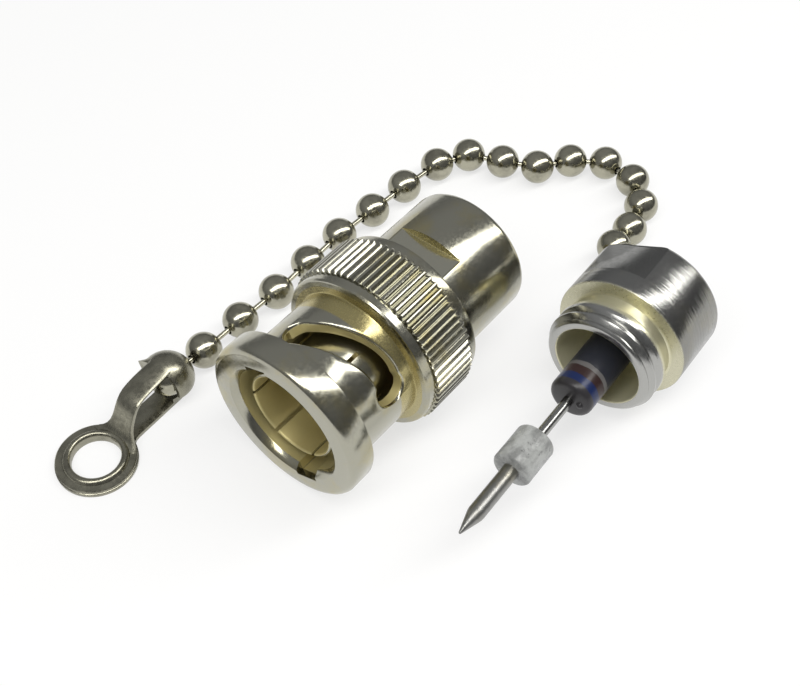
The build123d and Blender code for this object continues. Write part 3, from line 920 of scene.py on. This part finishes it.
class OBJECT_OT_chain_links(bpy.types.Operator):
    """Builds the dumbbell links between the beads"""
    bl_idname = "terminator.chain_links"
    bl_label = "Chain links"

    def execute(self, context):
        # The links are a lighter copy of the chain plating, as painted light.
        steel = chain_plating("link plating", context.scene.terminator_colours, 0.25, 1.4)
        points = chain_points()
        far = LINK_SPAN + KNOB_HALF
        for k in range(1, len(points)):
            pitch = CHAIN[k - 1][2]
            direction = (points[k] - points[k - 1]).normalized()
            first = 0.0 if k == 1 else (pitch - LINK_SPAN) / 2
            head, half = (CAPTIVE_R, CAPTIVE_HALF) if k == 1 else (KNOB_R, KNOB_HALF)
            link = turned([
                (-half, TIP), (-half, head * 0.7), (-half * 0.5, head), (half * 0.5, head),
                (half, head * 0.7), (half + 0.15, SHANK_R), (far - 0.51, SHANK_R),
                (far - 0.36, KNOB_R - 0.14), (far - 0.27, KNOB_R), (far - 0.09, KNOB_R),
                (far, KNOB_R - 0.14), (far, TIP)], sides=24)
            point_along(link, points[k - 1] + direction * first, direction)
            smooth(link, 50)
            finish_chain_piece(link, "link", k, steel)
        return {"FINISHED"}


# Ring tag


TAG_REACH, TAG_RING_R, TAG_HOLE_R, TAG_HALF = 8.67, 3.4, 2.05, 1.05
CUP_EDGE, SKIRT = -0.75, -0.45
TAG_BALL_R = CHAIN[-1][1]
# Upper leaf: station along the strip from the last bead's centre, height, half width, crown
LEAF = [
    (-0.30, 2.10, 1.02, 0.26), (-0.75, 2.03, 1.03, 0.27), (-1.4, 1.98, 1.04, 0.25),
    (-2.0, 1.91, 1.04, 0.21), (-2.6, 1.83, 1.04, 0.17), (-3.2, 1.70, 1.04, 0.13),
    (-3.7, 1.54, 1.04, 0.10), (-4.1, 1.32, 1.03, 0.08), (-4.45, 0.98, 1.02, 0.06),
    (-4.75, 0.55, 1.02, 0.05), (-5.0, 0.12, 1.03, 0.04), (-5.25, -0.30, 1.06, 0.02),
    (-5.5, -0.72, 1.16, 0.0), (-5.75, -1.10, 1.38, 0.0), (-5.95, -1.36, 1.66, 0.0),
    (-6.15, -1.56, 1.98, 0.0), (-6.4, -1.69, 2.2, 0.0), (-6.6, -1.75, 2.3, 0.0),
]
# Lower leaf: station and half width
FOOT = [
    (-6.4, 2.2), (-6.1, 1.95), (-5.8, 1.55), (-5.5, 1.25), (-5.2, 1.1),
    (-4.8, TAG_HALF), (-2.0, TAG_HALF), (0.25, TAG_HALF),
]


def solid_sheet(name, rows, sheet):
    """A sheet of even thickness from rows of points, as a closed piece."""
    mesh = bpy.data.meshes.new(name)
    shape = bmesh.new()
    grid = [[shape.verts.new(Vector(point) * MM) for point in row] for row in rows]
    for first, last in zip(grid, grid[1:]):
        for j in range(len(first) - 1):
            shape.faces.new((first[j], first[j + 1], last[j + 1], last[j]))
    shape.to_mesh(mesh)
    shape.free()
    piece = bpy.data.objects.new(name, mesh)
    bpy.context.scene.collection.objects.link(piece)
    pick(piece)
    solid = piece.modifiers.new("sheet", "SOLIDIFY")
    solid.thickness = sheet * MM
    solid.offset = 0.0
    solid.use_even_offset = True
    bpy.ops.object.modifier_apply(modifier=solid.name)
    bpy.ops.object.mode_set(mode="EDIT")
    bpy.ops.mesh.select_all(action="SELECT")
    face_outwards()
    return piece


class OBJECT_OT_ring_tag(bpy.types.Operator):
    """Builds the folded ring tag whose dome clasps the last bead"""
    bl_idname = "terminator.ring_tag"
    bl_label = "Ring tag"

    def execute(self, context):
        sheet = context.scene.terminator_sizes.tag_sheet
        tag = self.dome(sheet)
        boolean(tag, self.leaf(sheet), "UNION")
        boolean(tag, self.foot(sheet), "UNION")
        boolean(tag, self.rings(sheet), "UNION")
        self.lift_ear(tag)
        soften(tag, 0.05, 2, 50)
        heading = math.radians(CHAIN[-1][0] + 180)
        set_down(tag, (tuple(chain_points()[-1]), heading))
        smooth(tag, 40)
        steel = chain_plating("tag plating", context.scene.terminator_colours, 0.26, 0.75)
        finish_piece(tag, "tag_dressed", steel, "tag", "ring_tag")
        return {"FINISHED"}

    def dome(self, sheet):
        """The front of a hollow ball, whole above its skirt and as wide as the strip below it."""
        dome = ball(TAG_BALL_R, 64, 40)
        boolean(dome, ball(TAG_BALL_R - sheet, 64, 40))
        far = TAG_BALL_R + 1
        boolean(dome, block((-far, -far, -far), (CUP_EDGE, far, far)))
        for side in (-1, 1):
            near, away = sorted((side * (TAG_HALF + 0.01), side * far))
            boolean(dome, block((-far, near, -far), (far, away, SKIRT)))
        boolean(dome, block((1.0, -0.8, -0.75), (far, 0.8, 0.75)))
        return dome

    def leaf(self, sheet):
        rows = []
        for x, z, half, crown in LEAF:
            row = []
            for j in range(11):
                share = j / 5 - 1
                row.append((x, half * share, z - crown * share * share))
            rows.append(row)
        return solid_sheet("leaf", rows, sheet)

    def foot(self, sheet):
        z = -TAG_BALL_R + sheet / 2 + 0.004
        rows = [[(x, -half, z), (x, 0, z), (x, half, z)] for x, half in FOOT]
        return solid_sheet("foot", rows, sheet)

    def lift_ear(self, tag):
        """Bends the dome's far corner outwards a little, as it is on the worn tag."""
        for vert in tag.data.vertices:
            x, y, z = (c / MM for c in vert.co)
            share = max(0.0, min(1.0, (-0.15 - x) / 0.6)) * max(0.0, min(1.0, (y - 1.15) / 0.8))
            share *= max(0.0, min(1.0, (z - 0.1) / 0.8))
            if x > CUP_EDGE - 0.05 and share > 0:
                lift = Vector((0, y, z)).normalized() * share ** 1.5 * 0.5
                vert.co += Vector(lift) * MM

    def rings(self, sheet):
        """Two stacked rings joined by the rolled lip, turned about the hole's axis."""
        base = -TAG_BALL_R
        seam, top = base + sheet, base + 2 * sheet
        r, hole = TAG_RING_R, TAG_HOLE_R
        outline = [
            (base, hole + 0.02), (base, r - 0.08), (base + 0.04, r), (seam - 0.05, r), (seam, r - 0.05),
            (seam + 0.01, r - 0.12), (seam + 0.06, r - 0.07), (top - 0.11, r - 0.07), (top - 0.05, r - 0.14),
            (top - 0.05, hole + 0.7), (top + 0.06, hole + 0.65), (top + 0.19, hole + 0.53),
            (top + 0.27, hole + 0.37), (top + 0.24, hole + 0.19), (top + 0.1, hole + 0.04),
            (top - 0.1, hole), (base + 0.1, hole),
        ]
        rings = turned(outline, sides=96)
        rings.rotation_euler = (0, -math.pi / 2, 0)
        rings.location = (-TAG_REACH * MM, 0, 0)
        apply_place(rings)
        return rings


class OBJECT_OT_inner_pieces(bpy.types.Operator):
    """Gives the CAD pieces that stay their materials"""
    bl_idname = "terminator.inner_pieces"
    bl_label = "Inner pieces"

    def execute(self, context):
        colours = context.scene.terminator_colours
        spring = plain_grained("spring steel", SPRING_STEEL, 1.0, 0.3)
        rubber = plain_grained("gasket rubber", GASKET_RUBBER, 0.0, 0.6)
        solder = plain_grained("solder", SOLDER, 1.0, 0.35)
        silver = plated("socket plating", rgba(colours.cap), rgba(colours.tarnish), 0.3, CAP)
        kept = {
            "gasket": rubber, "retaining_ring": spring, "spring_washer": spring,
            "solder_joint": solder, "resistor_rear_lead": solder, "chain_socket": silver,
        }
        for name, material in kept.items():
            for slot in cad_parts[name].material_slots:
                slot.material = material
        return {"FINISHED"}


# Stage


FLOOR_SIZE, FLOOR_GLOW = 3000, 0.68
LAMP_FROM, LAMP_TO = Vector((-310, 40, 300)), Vector((700, -345, 300))
LAMP_WIDTH, LAMP_POWER, LAMP_COLOUR = 100, 2.2, (1.0, 0.99, 0.96)
SKY = (0.97, 0.98, 1.0, 1.0)
CAMERA_AT = (-37.108, -41.237, 76.772)
ELEVATION, HEADING, ROLL = (math.radians(angle) for angle in (51.057, 50.71, -0.272))
FOCAL_PIXELS, PHOTO_WIDTH, SENSOR = 1232.144, 800, 36


class OBJECT_OT_stage(bpy.types.Operator):
    """Lays the floor and sets the lights and the camera"""
    bl_idname = "terminator.stage"
    bl_label = "Stage"

    def execute(self, context):
        self.floor(context)
        self.lights(context)
        self.world(context)
        self.camera(context)
        return {"FINISHED"}

    def floor(self, context):
        clear()
        bpy.ops.mesh.primitive_plane_add(size=FLOOR_SIZE * MM, location=(0, 0, (FLOOR - 0.01) * MM))
        floor = context.active_object
        floor.name = "floor"
        material, tree, shader = new_material("floor")
        shader.inputs["Base Color"].default_value = rgba(context.scene.terminator_colours.floor)
        shader.inputs["Roughness"].default_value = 0.9
        shader.inputs["Specular IOR Level"].default_value = 0.1
        shader.inputs["Emission Color"].default_value = (1, 1, 1, 1)
        shader.inputs["Emission Strength"].default_value = FLOOR_GLOW
        floor.data.materials.append(material)

    def lights(self, context):
        """One long soft tube above the piece, running from the photo's left away to its right."""
        line = LAMP_TO - LAMP_FROM
        data = bpy.data.lights.new("tube", "AREA")
        data.shape = "RECTANGLE"
        data.size = line.length * MM
        data.size_y = LAMP_WIDTH * MM
        data.energy = LAMP_POWER
        data.color = LAMP_COLOUR
        light = bpy.data.objects.new("tube", data)
        context.scene.collection.objects.link(light)
        way = line.normalized()
        turn = Matrix((way, Vector((-way.y, way.x, 0)), Vector((0, 0, 1)))).transposed().to_4x4()
        light.matrix_world = Matrix.Translation((LAMP_FROM + LAMP_TO) / 2 * MM) @ turn

    def world(self, context):
        """A dim grey studio, lighter overhead and on the chain's side."""
        context.scene.view_settings.view_transform = "Standard"
        world = bpy.data.worlds.new("studio")
        context.scene.world = world
        world.use_nodes = True
        tree = world.node_tree
        tree.nodes.clear()
        output = tree.nodes.new("ShaderNodeOutputWorld")
        background = tree.nodes.new("ShaderNodeBackground")
        source = tree.nodes.new("ShaderNodeTexCoord")
        split = tree.nodes.new("ShaderNodeSeparateXYZ")
        tree.links.new(source.outputs["Generated"], split.inputs[0])
        side = ranged(tree, split.outputs["Y"], -0.45, 0.3, 0.19, 0.34)
        height = ranged(tree, split.outputs["Z"], 0.1, 0.65, 0.65, 1.0)
        tree.links.new(times(tree, side, height), background.inputs["Strength"])
        background.inputs["Color"].default_value = SKY
        tree.links.new(background.outputs[0], output.inputs[0])

    def camera(self, context):
        level = math.cos(ELEVATION)
        ahead = Vector((math.sin(HEADING) * level, math.cos(HEADING) * level, -math.sin(ELEVATION)))
        right = Vector((math.cos(HEADING), -math.sin(HEADING), 0))
        up = right.cross(ahead)
        right, up = (right * math.cos(ROLL) + up * math.sin(ROLL),
                     up * math.cos(ROLL) - right * math.sin(ROLL))
        data = bpy.data.cameras.new("camera")
        data.sensor_fit = "HORIZONTAL"
        data.sensor_width = SENSOR
        data.lens = SENSOR * FOCAL_PIXELS / PHOTO_WIDTH
        data.clip_start = 0.005
        camera = bpy.data.objects.new("camera", data)
        context.scene.collection.objects.link(camera)
        turn = Matrix((right, up, -ahead)).transposed().to_4x4()
        camera.matrix_world = Matrix.Translation(Vector(CAMERA_AT) * MM) @ turn
        context.scene.camera = camera


PIECES = (
    OBJECT_OT_stage, OBJECT_OT_coupling_nut, OBJECT_OT_outer_contact, OBJECT_OT_plug_body,
    OBJECT_OT_cap_shell, OBJECT_OT_resistor, OBJECT_OT_collar_and_pin, OBJECT_OT_chain_beads,
    OBJECT_OT_chain_links, OBJECT_OT_ring_tag, OBJECT_OT_inner_pieces,
)


class VIEW3D_PT_terminator(bpy.types.Panel):
    """Lists the sizes, the colours and the pieces"""
    bl_label = "Terminator"
    bl_idname = "VIEW3D_PT_terminator"
    bl_space_type = "VIEW_3D"
    bl_region_type = "UI"
    bl_category = "Terminator"

    def draw(self, context):
        column = self.layout.column()
        for group in (context.scene.terminator_sizes, context.scene.terminator_colours):
            for name in group.__annotations__:
                column.prop(group, name)
        for piece in PIECES:
            column.operator(piece.bl_idname)


CLASSES = (TerminatorSizes, TerminatorColours) + PIECES + (VIEW3D_PT_terminator,)


def register():
    for each in CLASSES:
        bpy.utils.register_class(each)
    bpy.types.Scene.terminator_sizes = bpy.props.PointerProperty(type=TerminatorSizes)
    bpy.types.Scene.terminator_colours = bpy.props.PointerProperty(type=TerminatorColours)


def unregister():
    del bpy.types.Scene.terminator_colours
    del bpy.types.Scene.terminator_sizes
    for each in reversed(CLASSES):
        bpy.utils.unregister_class(each)


def main():
    register()
    for piece in PIECES:
        group, name = piece.bl_idname.split(".")
        getattr(getattr(bpy.ops, group), name)()


if __name__ == "__main__":
    main()
